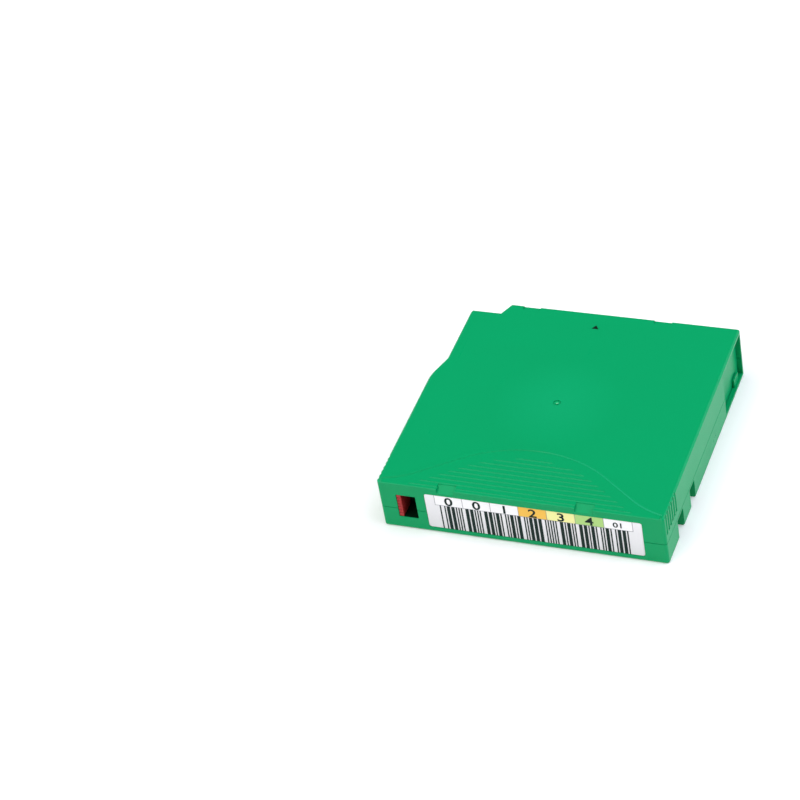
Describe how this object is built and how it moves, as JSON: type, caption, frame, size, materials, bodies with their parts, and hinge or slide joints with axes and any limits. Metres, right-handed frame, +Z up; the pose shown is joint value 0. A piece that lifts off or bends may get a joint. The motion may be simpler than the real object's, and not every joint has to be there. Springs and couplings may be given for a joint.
{
  "type": "data tape cartridge",
  "caption": "Single-reel data tape cartridge: two-part moulded case with sliding door, locking reel, leader pin and write-protect tab.",
  "frame": {"origin": "middle of the underside: bottom centre of the bounding box", "axes": "+Z up from the underside to the finger-rest side, +Y towards the edge that enters the drive first, +X towards the sliding door; the label face looks to -Y"},
  "size_m": [0.1054, 0.102, 0.0215],
  "materials": {
    "case_green": "fine satin moulding",
    "label_paper": "smooth coated",
    "tab_red": "satin moulding",
    "reel_grey": "satin moulding",
    "brake_white": "satin moulding",
    "tape_black": "smooth tape edge",
    "clutch_steel": "brushed",
    "spring_steel": "drawn wire",
    "pin_steel": "polished",
    "screw_steel": "zinc plated",
    "clip_plastic": "satin moulding",
    "board_laminate": "solder mask",
    "chip_epoxy": "matt epoxy"
  },
  "bodies": {
    "case": {"bottom_shell": "case_green", "top_shell": "case_green", "case_screws": "screw_steel", "barcode_label": "label_paper", "leader_pin": "pin_steel", "leader_clip": "clip_plastic", "tape_leader": "tape_black", "pin_spring_lower": "spring_steel", "pin_spring_upper": "spring_steel", "memory_board": "board_laminate", "memory_chip": "chip_epoxy"},
    "reel": {"reel_hub": "reel_grey", "lower_flange": "reel_grey", "clutch_plate": "clutch_steel", "tape_pack": "tape_black"},
    "release": {"release_pad": "brake_white"},
    "brake": {"brake_button": "brake_white", "brake_spring": "spring_steel"},
    "door": {"door": "case_green", "door_spring": "spring_steel"},
    "tab": {"write_protect_tab": "tab_red"}
  },
  "joints": [
    {"name": "reel_spin", "type": "hinge", "parent": "case", "child": "reel", "pos_m": [-0.0015, 0, 0], "axis": [0, 0, 1], "continuous": true},
    {"name": "brake_lift", "type": "slide", "parent": "case", "child": "brake", "axis": [0, 0, 1], "range_m": [0, 0.0018], "stiffness_N_per_m": 350, "springref_m": -0.006, "deforming": ["brake_spring"]},
    {"name": "release_lift", "type": "slide", "parent": "reel", "child": "release", "axis": [0, 0, 1], "range_m": [0, 0.0018]},
    {"name": "door_slide", "type": "slide", "parent": "case", "child": "door", "axis": [0, -1, 0], "range_m": [0, 0.023], "stiffness_N_per_m": 30, "springref_m": -0.017, "deforming": ["door_spring"]},
    {"name": "tab_slide", "type": "slide", "parent": "case", "child": "tab", "axis": [1, 0, 0], "range_m": [0, 0.0054]}
  ],
  "couplings": [
    {"joint": "release_lift", "follows": "brake_lift", "ratio": 1}
  ]
}
